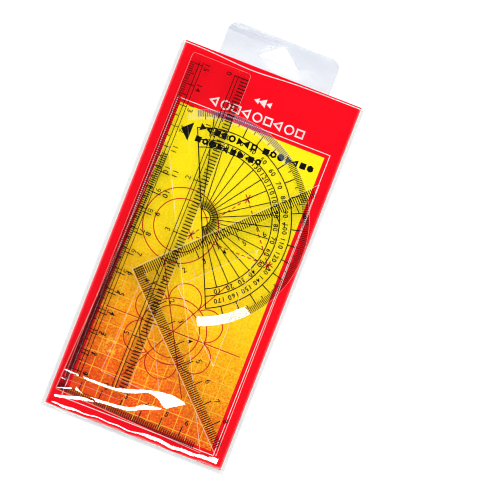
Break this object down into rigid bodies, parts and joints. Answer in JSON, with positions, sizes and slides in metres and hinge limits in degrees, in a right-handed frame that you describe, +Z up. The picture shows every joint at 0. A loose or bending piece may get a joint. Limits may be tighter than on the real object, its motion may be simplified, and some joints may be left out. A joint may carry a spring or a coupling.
{
  "type": "drawing instrument set",
  "caption": "Flat clear film packet of transparent drawing instruments on a printed card: ruler, protractor, 45 and 60 degree set squares, with a hang tab behind the open end.",
  "frame": {"origin": "centre of the packet's outline, tab included, on the surface that it lies on, face up", "axes": "+X to the right across the face, +Y along the packet towards the hang tab, +Z up out of the printed face"},
  "size_m": [0.0892, 0.1956, 0.0072],
  "materials": {
    "printed_card": "coated, printed red with a yellow to orange panel",
    "clear_plastic": "clear, polished",
    "milky_plastic": "milky, translucent",
    "adhesive": "clear adhesive film",
    "clear_film": "clear, polished"
  },
  "bodies": {
    "pouch": {"pouch_back_film": "clear_film", "pouch_front_film": "clear_film", "hang_tab": "milky_plastic", "tab_adhesive": "adhesive"},
    "card": {"insert_card": "printed_card"},
    "ruler": {"ruler": "clear_plastic"},
    "protractor": {"protractor": "clear_plastic"},
    "square_45": {"set_square_45": "clear_plastic"},
    "square_60": {"set_square_60": "clear_plastic"}
  },
  "joints": [
    {"name": "card_slide", "type": "slide", "parent": "pouch", "child": "card", "axis": [0, 1, 0], "range_m": [0, 0.167]},
    {"name": "ruler_slide", "type": "slide", "parent": "pouch", "child": "ruler", "axis": [0, 1, 0], "range_m": [0, 0.153]},
    {"name": "protractor_slide", "type": "slide", "parent": "pouch", "child": "protractor", "axis": [0, 1, 0], "range_m": [0, 0.108]},
    {"name": "square_45_slide", "type": "slide", "parent": "pouch", "child": "square_45", "axis": [0, 1, 0], "range_m": [0, 0.161]},
    {"name": "square_60_slide", "type": "slide", "parent": "pouch", "child": "square_60", "axis": [0, 1, 0], "range_m": [0, 0.162]}
  ]
}
